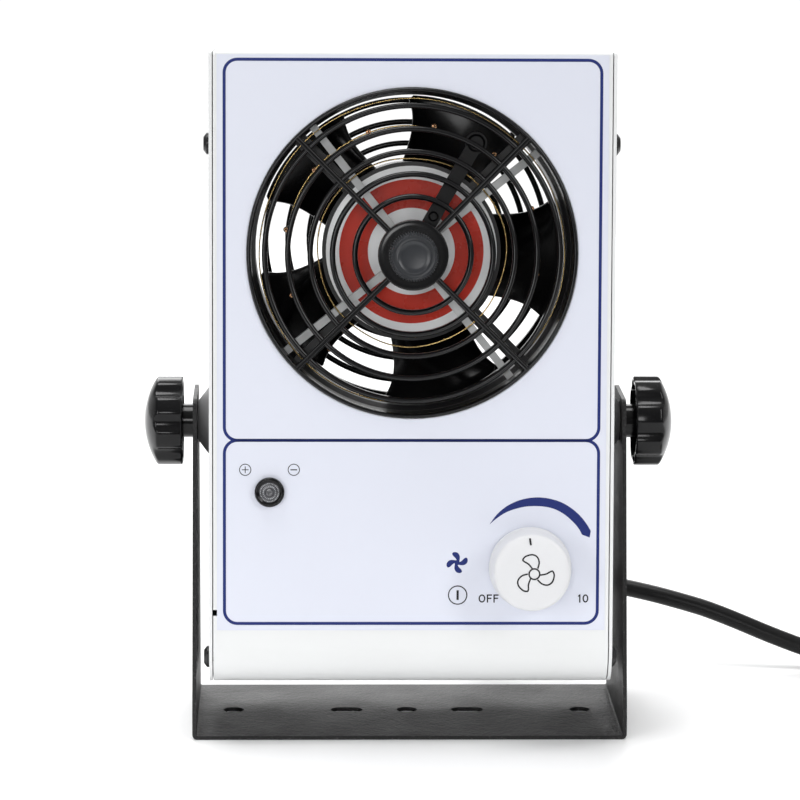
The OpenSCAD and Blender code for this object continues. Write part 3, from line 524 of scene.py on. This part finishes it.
L0, L1 = 0.29, 0.345
navy = []
frame_line = 1.15
navy.append(ribbon(rounded(-70.2, 70.2, -3.1, 139.1, 4.9), frame_line, L0, L1, closed=True))
navy.append(ribbon(rounded(-70.2, 70.2, -72.4, -3.1, 4.9), frame_line, L0, L1, closed=True))
cres_out = spline([(29.3, -34.9), (32.1, -31.1), (35.7, -28.0), (40.2, -25.8), (45.3, -24.7), (50.4, -24.8), (55.5, -26.1), (59.6, -28.3), (63.2, -31.3), (65.8, -34.5), (67.5, -37.3)], 5, closed=False)
cres_in = spline([(64.2, -38.7), (62.8, -36.2), (60.5, -33.6), (57.6, -31.1), (54.0, -29.1), (50.0, -28.1), (44.9, -27.9), (40.3, -28.6), (35.7, -30.2), (32.1, -32.5), (29.3, -34.9)], 5, closed=False)
navy.append(flat(cres_out + [(67.1, -39.8)] + cres_in[:-1], L0, L1))
# four-blade fan mark
blade4 = spline([(0.15, 0.5), (-0.3, 1.6), (-1.2, 2.9), (-1.35, 3.7), (-0.6, 4.1), (0.6, 3.7), (1.25, 2.6), (1.2, 1.4), (0.75, 0.2)], 4)
for k in range(4):
    c, s = math.cos(math.radians(90 * k + 8)), math.sin(math.radians(90 * k + 8))
    navy.append(flat([(17.25 + x * c - y * s, -49.3 + x * s + y * c) for x, y in blade4], L0, L1))
navy.append(flat(arc(17.25, -49.3, 1.0, 0, 352, 22), L0, L1 + 0.002))
place("label_print_blue", join(navy), face(0, 0), M["navy_ink"], "housing", smooth=None)

black = []
black.append(ribbon(arc(17.5, -61.65, 3.45, 0, 354, 59), 0.42, L0, L1, closed=True))
black.append(ribbon([(17.5, -59.8), (17.5, -63.5)], 0.85, L0, L1))
for x, plus in ((-62.4, True), (-44.2, False)):
    black.append(ribbon(arc(x, -14.2, 2.12, 0, 350, 35), 0.30, L0, L1, closed=True))
    black.append(ribbon([(x - 1.25, -14.2), (x + 1.25, -14.2)], 0.30 if plus else 0.42, L0, L1))
    if plus:
        black.append(ribbon([(x, -15.45), (x, -12.95)], 0.30, L0, L1 + 0.002))


def letter(ch, x, y, h, w, t):
    """Plain stroke capitals and digits used on dials."""
    if ch in "O0":
        return [ribbon([(x + w / 2 + (w / 2 - t / 2) * math.cos(math.radians(a)), y + h / 2 + (h / 2 - t / 2) * math.sin(math.radians(a))) for a in range(0, 360, 9)], t, L0, L1, closed=True)]
    if ch == "F":
        return [ribbon([(x + t / 2, y), (x + t / 2, y + h)], t, L0, L1), ribbon([(x + t / 2, y + h - t / 2), (x + w, y + h - t / 2)], t, L0, L1 + 0.002),
                ribbon([(x + t / 2, y + h * 0.52), (x + w * 0.9, y + h * 0.52)], t, L0, L1 + 0.002)]
    if ch == "1":
        return [ribbon([(x + w * 0.62, y), (x + w * 0.62, y + h)], t, L0, L1), ribbon([(x + w * 0.62, y + h - t / 2), (x + w * 0.15, y + h * 0.74)], t * 0.9, L0, L1 + 0.002)]
    return []


x = 25.4
for ch, w in (("O", 2.55), ("F", 1.95), ("F", 1.95)):
    black += letter(ch, x, -64.5, 3.1, w, 0.50)
    x += w + 0.55
x = 62.7
for ch, w in (("1", 1.4), ("0", 2.2)):
    black += letter(ch, x, -64.5, 3.1, w, 0.50)
    x += w + 0.5
place("label_print_black", join(black), face(0, 0), M["black_ink"], "housing", smooth=None)

# ------------------------------------------------------------------ guards
DOME_H = 11.0


def dome(r):
    return 1.5 + DOME_H * max(0.0, 1 - r / 61) ** 1.2


GUARD_R = (21.6, 29.9, 38.2, 46.6, 55.2)


def guard_mesh(hub_r, bore=None):
    parts = []
    for r in GUARD_R:
        d = dome(r)
        prof = [(r - 1.05, d - 3.3), (r - 0.8, d - 3.55), (r + 0.8, d - 3.55), (r + 1.05, d - 3.3), (r + 1.05, d - 1.0), (r + 0.92, d - 0.55), (r + 0.6, d - 0.22), (r + 0.25, d - 0.05),
                (r, d), (r - 0.25, d - 0.05), (r - 0.6, d - 0.22), (r - 0.92, d - 0.55), (r - 1.05, d - 1.0)]
        parts.append(lathe(prof, 144))
    for a in (45, 135, 225, 315):
        v, f = [], []
        rs = [11.5 + (61.0 - 11.5) * i / 24 for i in range(25)]
        for r in rs:
            zt = dome(r) + 0.35
            zb = max(dome(r) - 4, -3)
            sec = [(-1.1, zb), (-1.1, zt - 0.55), (-0.95, zt - 0.2), (-0.62, zt), (-0.3, zt - 0.16), (0, zt - 0.42), (0.3, zt - 0.16), (0.62, zt), (0.95, zt - 0.2), (1.1, zt - 0.55), (1.1, zb)]
            v += [(r, y, z) for y, z in sec]
        k = 11
        for i in range(24):
            for j in range(k):
                j2 = (j + 1) % k
                f.append((i * k + j, i * k + j2, (i + 1) * k + j2, (i + 1) * k + j))
        f.append(tuple(range(k)))
        f.append(tuple(24 * k + j for j in range(k))[::-1])
        parts.append(moved((v, f), Matrix.Rotation(math.radians(a), 4, "Z")))
    d = dome(13)
    inner = bore if bore else 0.0
    prof = [(max(inner, 0.01), d - 4), (hub_r - 0.4, d - 4), (hub_r, d - 3.6), (hub_r, d + 1.1), (hub_r - 0.12, d + 1.36), (hub_r - 0.4, d + 1.5), (11.0, d + 1.5), (10.0, d + 1.5), (9.0, d + 1.5),
            (max(inner, 0.01), d + 1.5)]
    parts.append(lathe(prof, 96, close=True))
    rim = [(60.3, -3.2), (61.8, -3.2), (61.8, 0.75), (61.68, 1.1), (61.4, 1.38), (61.0, 1.5), (60.65, 1.38), (60.42, 1.1), (60.3, 0.75)]
    parts.append(lathe(rim, 192))
    # square flange behind the panel
    n = 96
    v, f = [], []
    for z in (-3.2, -1.2):
        for i in range(n):
            a = 2 * math.pi * (i + 0.5) / n
            v.append((60.8 * math.cos(a), 60.8 * math.sin(a), z))
        for i in range(n):
            a = 2 * math.pi * (i + 0.5) / n
            q = 63.5 / max(abs(math.cos(a)), abs(math.sin(a)))
            v.append((q * math.cos(a), q * math.sin(a), z))
    for i in range(n):
        j = (i + 1) % n
        f += [(i, n + i, n + j, j), (2 * n + i, 2 * n + j, 3 * n + j, 3 * n + i), (i, j, 2 * n + j, 2 * n + i), (n + i, 3 * n + i, 3 * n + j, n + j)]
    parts.append((v, f))
    return join(parts)


place("fan_guard_front", guard_mesh(13.1, 3.05), face(0, FAN_Z), M["guard_black"], "housing", ["front_guard"], smooth=50)
place("fan_guard_rear", guard_mesh(13.1), back(0, FAN_Z), M["guard_black"], "housing", ["rear_guard"], smooth=50)

# ------------------------------------------------------------------ brush knob
def knurl(a, r, z):
    if r < 8.4 or z < dome(13) + 1.9:
        return r
    return r - 0.34 + 0.34 * max(-1.0, min(1.0, 1.6 * math.cos(a * 56)))


kz = dome(13)
prof = [(3.0, kz + 1.8), (8.6, kz + 1.8), (9.1, kz + 2.3), (9.1, kz + 11.1), (9.0, kz + 11.5), (8.75, kz + 11.78), (8.45, kz + 11.88), (8.15, kz + 11.8), (7.95, kz + 11.5),
        (7.85, kz + 11.15), (7.6, kz + 11.0), (6.2, kz + 10.92), (6.05, kz + 11.05), (5.85, kz + 11.05), (5.7, kz + 10.88), (4.0, kz + 10.7), (2.6, kz + 10.58), (1.2, kz + 10.52), (0.02, kz + 10.5), (0.02, kz + 8.0), (3.0, kz + 7.9)]
place("brush_knob_shell", lathe(prof, 512, close=True, radius=knurl), face(0, FAN_Z), M["knob_satin"], "brush", ["brush_knob"], smooth=50)

# ------------------------------------------------------------------ clamp knobs
def lobe_radius():
    n = 192
    out = []
    for i in range(n):
        a = 360 * i / n
        ph = (a + 22.5) % 45 - 22.5
        r = 17.2
        s = 20.6 * math.sin(math.radians(ph))
        if abs(s) < 5:
            r = min(r, 20.6 * math.cos(math.radians(ph)) - math.sqrt(25 - s * s))
        out.append(r)
    for _ in range(3):
        out = [(out[i - 1] + 2 * out[i] + out[(i + 1) % n]) / 4 for i in range(n)]
    return out


LOBE = lobe_radius()


def clamp_knob():
    n = len(LOBE)
    rings = [("c", 4.02, 0.0), ("c", 6.5, 0.0), ("c", 6.5, 8.5), ("l", -2.6, 8.5), ("l", -1.5, 4.3), ("l", -1.1, 4.0), ("l", -0.45, 4.05), ("l", -0.12, 4.25), ("l", 0.0, 4.7), ("l", 0.0, 13.0)]
    for z in (13.5, 13.9, 14.3, 14.8, 15.4, 16.1, 16.8, 17.5, 18.1, 18.5, 18.72, 18.79):
        rings.append(("d", 0, z))
    v, f = [], []
    for kind, q, z in rings:
        for i in range(n):
            a = 2 * math.pi * i / n
            if kind == "c":
                r = q
            elif kind == "l":
                r = LOBE[i] + q
            else:
                rd = math.sqrt(max(0, 31.5 ** 2 - (z + 12.7) ** 2))
                # soft minimum of the lobed wall and the domed cap
                r = -math.log(math.exp(-3 * LOBE[i]) + math.exp(-3 * rd)) / 3
                r = max(r, 0.0)
            zz = z
            v.append((r * math.cos(a), r * math.sin(a), zz))
    k = len(rings)
    for a in range(k - 1):
        for i in range(n):
            j = (i + 1) % n
            f.append((a * n + i, a * n + j, (a + 1) * n + j, (a + 1) * n + i))
    f.append(tuple((k - 1) * n + i for i in range(n)))
    # blind bore
    b0 = len(v)
    v += [(4.02 * math.cos(2 * math.pi * i / n), 4.02 * math.sin(2 * math.pi * i / n), 11.0) for i in range(n)]
    for i in range(n):
        j = (i + 1) % n
        f.append((j, i, b0 + i, b0 + j))
    f.append(tuple(b0 + i for i in range(n))[::-1])
    return v, f


place("clamp_knob_right", clamp_knob(), side(82.7, 0, 0, 1, 10), M["knob_gloss"], "right_clamp", ["right_clamp_knob"], smooth=45)
place("clamp_knob_left", clamp_knob(), side(-82.7, 0, 0, -1, 2), M["knob_gloss"], "left_clamp", ["left_clamp_knob"], smooth=45)

# ------------------------------------------------------------------ speed knob
KX, KZ = 44.7, -51.2
prof = [(3.0, 0.8), (5.2, 0.8), (5.2, 11.0), (13.2, 11.0), (13.4, 0.8), (15.3, 0.8), (15.5, 1.0), (15.5, 2.5), (15.4, 2.85), (15.15, 3.1), (15.05, 3.5), (14.5, 13.4), (14.38, 14.1), (14.05, 14.7), (13.5, 15.08),
        (12.8, 15.22), (10, 15.28), (5, 15.3), (0.02, 15.3), (0.02, 12.0), (3.0, 12.0)]
place("speed_knob_cap", lathe(prof, 144), face(KX, KZ), M["white_plastic"], "speed_dial", ["speed_knob"], smooth=50)
K0, K1 = 15.24, 15.36
marks = [ribbon([(-1.0, 13.1), (-0.62, 10.5)], 0.72, K0 - 0.03, K1)]
ccx, ccy = 0.75, -0.35
marks.append(ribbon(shift(arc(0, 0, 1.98, 0, 352, 44), ccx, ccy), 0.56, K0, K1, closed=True))
blade3 = spline([(-0.75, 2.0), (-2.2, 3.75), (-3.9, 4.8), (-4.3, 5.5), (-3.2, 6.7), (-0.85, 7.3), (1.0, 6.45), (1.75, 4.4), (1.25, 2.1)], 6, closed=False)
for k in range(3):
    c, s = math.cos(math.radians(120 * k)), math.sin(math.radians(120 * k))
    marks.append(ribbon([(ccx + x * c - y * s, ccy + x * s + y * c) for x, y in blade3], 0.56, K0, K1 + 0.002 * k))
place("speed_knob_marks", join(marks), face(KX, KZ), M["black_ink"], "speed_dial", smooth=None)

# ------------------------------------------------------------------ lamp
LX, LZ = -53.3, -22.6
prof = [(3.95, 0.32), (5.45, 0.32), (5.6, 0.5), (5.6, 1.4), (5.5, 1.85), (5.2, 2.2), (4.85, 2.35), (4.5, 2.3), (4.25, 2.05), (3.95, 1.9)]
place("lamp_bezel_ring", lathe(prof, 96), face(LX, LZ), M["knob_gloss"], "housing", ["lamp_bezel"], smooth=50)


def lens_facets(a, r, z):
    return r * (1 + (0.035 * math.cos(a * 24) if 1.2 < r < 3.3 and z > 1.5 else 0))


prof = [(0.02, 0.0), (3.85, 0.0), (3.85, 1.75), (3.6, 1.95), (3.3, 1.95), (3.1, 1.8), (2.85, 2.15), (2.55, 2.2), (2.35, 2.0), (2.1, 2.4), (1.8, 2.45), (1.6, 2.2), (1.35, 2.55), (1.0, 2.6), (0.7, 2.4), (0.02, 2.45)]
dots = [moved(lathe([(q * (0.78 + 0.3 * math.sin(k * 2.7) ** 2), w) for q, w in ((0.01, 0.0), (0.27, 0.0), (0.25, 0.14), (0.16, 0.24), (0.01, 0.28))], 10), Matrix.Rotation(2 * math.pi * k / 22, 4, "Z") @ Matrix.Translation((2.3, 0, 2.05))) for k in range(22)]
dots += [moved(lathe([(q * (0.7 + 0.4 * math.sin(k * 1.9) ** 2), w) for q, w in ((0.01, 0.0), (0.22, 0.0), (0.2, 0.12), (0.12, 0.2), (0.01, 0.24))], 10), Matrix.Rotation(2 * math.pi * (k + 0.5) / 34, 4, "Z") @ Matrix.Translation((3.35, 0, 1.85))) for k in range(34)]
place("lamp_lens_facets", join(dots), face(LX, LZ), M["lens_bright"], "housing", smooth=50)
place("lamp_lens_cap", lathe(prof, 144, radius=lens_facets), face(LX, LZ), M["lens"], "housing", ["lamp_lens"], smooth=40)

# ------------------------------------------------------------------ impeller
def impeller():
    parts = []
    hub = [(30.1, -47.5 + 2.5), (30.1, -21.2), (30.5, -21.0), (32.6, -21.0), (33.0, -21.5), (33.0, -47.0), (32.5, -47.5), (0.02, -47.5), (0.02, -45.0)]
    parts.append(lathe(hub, 120))
    NR, NC = 16, 22
    for k in range(5):
        base = 67.5 + 72 * k
        v, f = [], []
        for s in (1, -1):
            for i in range(NR + 1):
                t = i / NR
                r = 32.4 + (58.0 - 32.4) * t
                half = 21.2 + 2.5 * ((r - 48) / 10) ** 2
                if r > 56.0:
                    half -= 2.6 * ((r - 56.0) / 2.0) ** 2.2
                for j in range(NC + 1):
                    u = j / NC
                    cu = math.cos(math.pi * u)
                    a = math.radians(base + half * -cu)
                    z = -14 - 21 + (12.5 - 5.5 * t) * cu + 1.8 * math.sin(math.pi * u)
                    th = 0.25 + 0.95 * math.sin(math.pi * u) ** 0.6
                    if 0 < j < NC or True:
                        v.append((r * math.cos(a), r * math.sin(a), z + s * th))
        m1 = (NR + 1) * (NC + 1)
        idx = lambda i, j, s: s * m1 + i * (NC + 1) + j
        for i in range(NR):
            for j in range(NC):
                f.append((idx(i, j, 0), idx(i, j + 1, 0), idx(i + 1, j + 1, 0), idx(i + 1, j, 0)))
                f.append((idx(i, j, 1), idx(i + 1, j, 1), idx(i + 1, j + 1, 1), idx(i, j + 1, 1)))
        for j in range(NC):
            f.append((idx(0, j, 0), idx(0, j, 1), idx(0, j + 1, 1), idx(0, j + 1, 0)))
            f.append((idx(NR, j, 0), idx(NR, j + 1, 0), idx(NR, j + 1, 1), idx(NR, j, 1)))
        for i in range(NR):
            f.append((idx(i, 0, 0), idx(i + 1, 0, 0), idx(i + 1, 0, 1), idx(i, 0, 1)))
            f.append((idx(i, NC, 0), idx(i, NC, 1), idx(i + 1, NC, 1), idx(i + 1, NC, 0)))
        parts.append((v, f))
    return join(parts)


place("impeller", impeller(), face(0, FAN_Z), M["blade_black"], "fan", ["fan_impeller"], smooth=50)

# ------------------------------------------------------------------ motor label: plain foil disc with a plain red ring
prof = [(0.02, -14.0), (32.2, -14.0), (32.2, -13.75), (32.0, -13.68), (0.02, -13.68)]
place("motor_foil", lathe(prof, 96), face(0, FAN_Z), M["foil"], "housing", ["motor_label"], smooth=30)
prof = [(16.4, -13.7), (27.2, -13.7), (27.2, -13.63), (16.4, -13.63)]
place("motor_red_ring", lathe(prof, 96), face(0, FAN_Z), M["red_ink"], "housing", smooth=30)

# ------------------------------------------------------------------ emitter wires and needles
Z_EM = -8.6
parts = []
for r0, ph in ((35.5, 0.3), (47.4, 1.1), (57.4, 2.0)):
    pts = []
    for i in range(180):
        a = 2 * math.pi * i / 180
        rr = r0 + 0.28 * math.sin(3 * a + ph) + 0.16 * math.sin(7 * a + 2 * ph)
        pts.append((rr * math.cos(a), rr * math.sin(a), Z_EM - 1.5 + 0.12 * math.sin(5 * a + ph)))
    parts.append(sweep(pts, 0.27, 8, closed=True))
place("emitter_wire_rings", join(parts), face(0, FAN_Z), M["brass_wire"], "housing", ["emitter_wires"], smooth=60)
parts = []
for k in range(12):
    a = math.radians(20 + 30 * k)
    prof = [(0.02, -4.6), (0.62, -4.6), (0.7, -4.45), (0.7, -2.3), (0.95, -2.15), (1.05, -1.8), (1.05, -1.4), (0.95, -1.05), (0.62, -0.9), (0.42, -0.85), (0.40, -0.3), (0.24, 0.45), (0.05, 0.98), (0.01, 1.0)]
    parts.append(moved(lathe(prof, 20), Matrix.Rotation(a, 4, "Z") @ Matrix.Translation((47.9, 0, Z_EM))))
place("emitter_pins", join(parts), face(0, FAN_Z), M["copper"], "housing", ["emitter_needles"], smooth=50)

# ------------------------------------------------------------------ cord relief with ribs
prof = [(0.02, -4.0), (5.9, -4.0), (5.9, 0.0), (8.0, 0.0), (8.5, 0.5), (8.5, 2.0), (8.0, 2.5), (6.8, 2.5)]
for i in range(9):
    z = 4.0 + i * 2.9
    r = 6.6 + (4.1 - 6.6) * (z - 2.5) / 27.5
    prof += [(r, z - 0.35), (r - 0.75, z), (r - 0.75, z + 0.55), (r - 0.1, z + 0.9)]
prof += [(4.15, 29.4), (3.95, 29.9), (0.02, 30.0)]
place("cord_relief_boot", lathe(prof, 48), back(30, -76), M["cord_rubber"], "housing", ["cord_relief"], smooth=40)

# ------------------------------------------------------------------ plug: rounded body with a ribbed neck
def plug():
    parts = []
    n = 40
    rings = []
    for x, hy, hz, e in ((206, 5.0, 4.6, 2.0), (204, 5.2, 4.8, 2.0), (203.4, 4.6, 4.2, 2.0), (202.2, 4.6, 4.2, 2.0), (201.6, 5.6, 5.2, 2.0), (200.0, 5.7, 5.3, 2.0), (199.4, 5.0, 4.7, 2.0), (198.2, 5.0, 4.7, 2.0),
                         (197.6, 6.2, 5.9, 2.1), (196.2, 6.5, 6.2, 2.2), (194.5, 9.5, 8.6, 2.6), (192, 11.8, 9.6, 3.2), (189, 12.6, 9.9, 3.8), (184, 12.8, 9.95, 4.5), (176.0, 12.9, 9.95, 5), (174.4, 12.6, 9.6, 5), (174.0, 12.0, 9.0, 5)):
        ring = []
        for i in range(n):
            a = 2 * math.pi * i / n
            c, s = math.cos(a), math.sin(a)
            ring.append((x, -39 + hy * abs(c) ** (2 / e) * (1 if c >= 0 else -1), 10 + hz * abs(s) ** (2 / e) * (1 if s >= 0 else -1)))
        rings.append(ring)
    v = [p for r in rings for p in r]
    f = []
    for a in range(len(rings) - 1):
        for i in range(n):
            j = (i + 1) % n
            f.append((a * n + i, a * n + j, (a + 1) * n + j, (a + 1) * n + i))
    f.append(tuple(range(n))[::-1])
    f.append(tuple((len(rings) - 1) * n + i for i in range(n)))
    return v, f


plug_ob = place("mains_plug", plug(), WORLD, M["cord_rubber"], "bracket", ["plug_body"], smooth=40)

# ------------------------------------------------------------------ softened edges on the carried-over nodes
for name, w in (("bracket", 0.35), ("front_shell", 0.25), ("rear_shell", 0.25), ("fan_frame", 0.4), ("duct_ring", 0.3), ("brush_arm", 0.25),
                ("side_screws", 0.15), ("guard_screws", 0.15), ("pivot_spacers", 0.3), ("emitter_frame", 0.15), ("plug_pins", 0.2), ("brush_rivet", 0.1),
                ("speed_pot", 0.2), ("hv_module", 0.6), ("control_board", 0.1)):
    bevel_cad(name, w)

# ------------------------------------------------------------------ floor and light
WORLD_FRONT = 0.22
WORLD_SIDE = 0.34
WORLD_BACK = 1.2
WORLD_TOP = 0.30
bpy.ops.mesh.primitive_plane_add(size=1.9, location=(0, 0.5, 0))
floor = bpy.context.object
floor.name = "floor"
floor.data.materials.append(M["floor"])

world = bpy.data.worlds.new("world")
bpy.context.scene.world = world
world.use_nodes = True
nt = world.node_tree
bg = nt.nodes["Background"]
tc = nt.nodes.new("ShaderNodeTexCoord")
sep = nt.nodes.new("ShaderNodeSeparateXYZ")
nt.links.new(tc.outputs["Generated"], sep.inputs[0])
ramp = nt.nodes.new("ShaderNodeValToRGB")
cr = ramp.color_ramp
cr.interpolation = "EASE"
cr.elements[0].position = 0.0
cr.elements[0].color = (WORLD_FRONT, WORLD_FRONT, WORLD_FRONT, 1)
cr.elements[1].position = 1.0
cr.elements[1].color = (WORLD_BACK, WORLD_BACK, WORLD_BACK, 1)
for pos, val in ((0.50, WORLD_FRONT), (0.80, WORLD_SIDE), (0.93, WORLD_SIDE * 1.6), (0.985, WORLD_BACK)):
    e = cr.elements.new(pos)
    e.color = (val, val, val, 1)
my = nt.nodes.new("ShaderNodeMath")
my.operation = "MULTIPLY_ADD"
my.inputs[1].default_value = 0.5
my.inputs[2].default_value = 0.5
nt.links.new(sep.outputs["Y"], my.inputs[0])
nt.links.new(my.outputs[0], ramp.inputs["Fac"])
mz = nt.nodes.new("ShaderNodeMapRange")
mz.inputs["From Min"].default_value = 0.35
mz.inputs["From Max"].default_value = 0.95
mz.inputs["To Min"].default_value = 0.0
mz.inputs["To Max"].default_value = WORLD_TOP
nt.links.new(sep.outputs["Z"], mz.inputs["Value"])
add = nt.nodes.new("ShaderNodeMath")
add.operation = "ADD"
nt.links.new(ramp.outputs["Color"], add.inputs[0])
nt.links.new(mz.outputs["Result"], add.inputs[1])
lp = nt.nodes.new("ShaderNodeLightPath")
mixw = nt.nodes.new("ShaderNodeMix")
mixw.data_type = "FLOAT"
nt.links.new(lp.outputs["Is Camera Ray"], mixw.inputs[0])
nt.links.new(add.outputs[0], mixw.inputs[2])
mixw.inputs[3].default_value = 1.05
bg.inputs[0].default_value = (1.0, 1.0, 1.0, 1)
nt.links.new(mixw.outputs[0], bg.inputs[1])


def area(name, loc, target, size, power, size_y=None, colour=(1, 1, 1)):
    d = bpy.data.lights.new(name, "AREA")
    d.energy = power
    d.color = colour
    d.size = size
    if size_y:
        d.shape = "RECTANGLE"
        d.size_y = size_y
    o = bpy.data.objects.new(name, d)
    o.location = loc
    o.rotation_mode = "QUATERNION"
    o.rotation_quaternion = (Vector(target) - Vector(loc)).to_track_quat("-Z", "Y")
    bpy.context.scene.collection.objects.link(o)
    return o


area("key_left", (-1.05, -1.25, 0.42), (0, 0, 0.10), 0.45, 6.6, 0.8)
area("key_right", (1.3, -1.15, 0.95), (0, 0, 0.12), 0.45, 10.6, 1.0)
area("front_low", (-0.25, -1.9, 0.55), (0, 0, 0.10), 0.5, 4.6, 0.4)
area("back_top", (-0.15, 1.5, 1.05), (0, 0, 0.05), 1.5, 15, 0.8)
sun = bpy.data.lights.new("overhead", "SUN")
sun.energy = 2.0
sun.angle = math.radians(35)
so = bpy.data.objects.new("overhead", sun)
so.rotation_euler = (math.radians(-3), math.radians(-10), 0)
bpy.context.scene.collection.objects.link(so)
bpy.context.scene.view_settings.view_transform = "Standard"
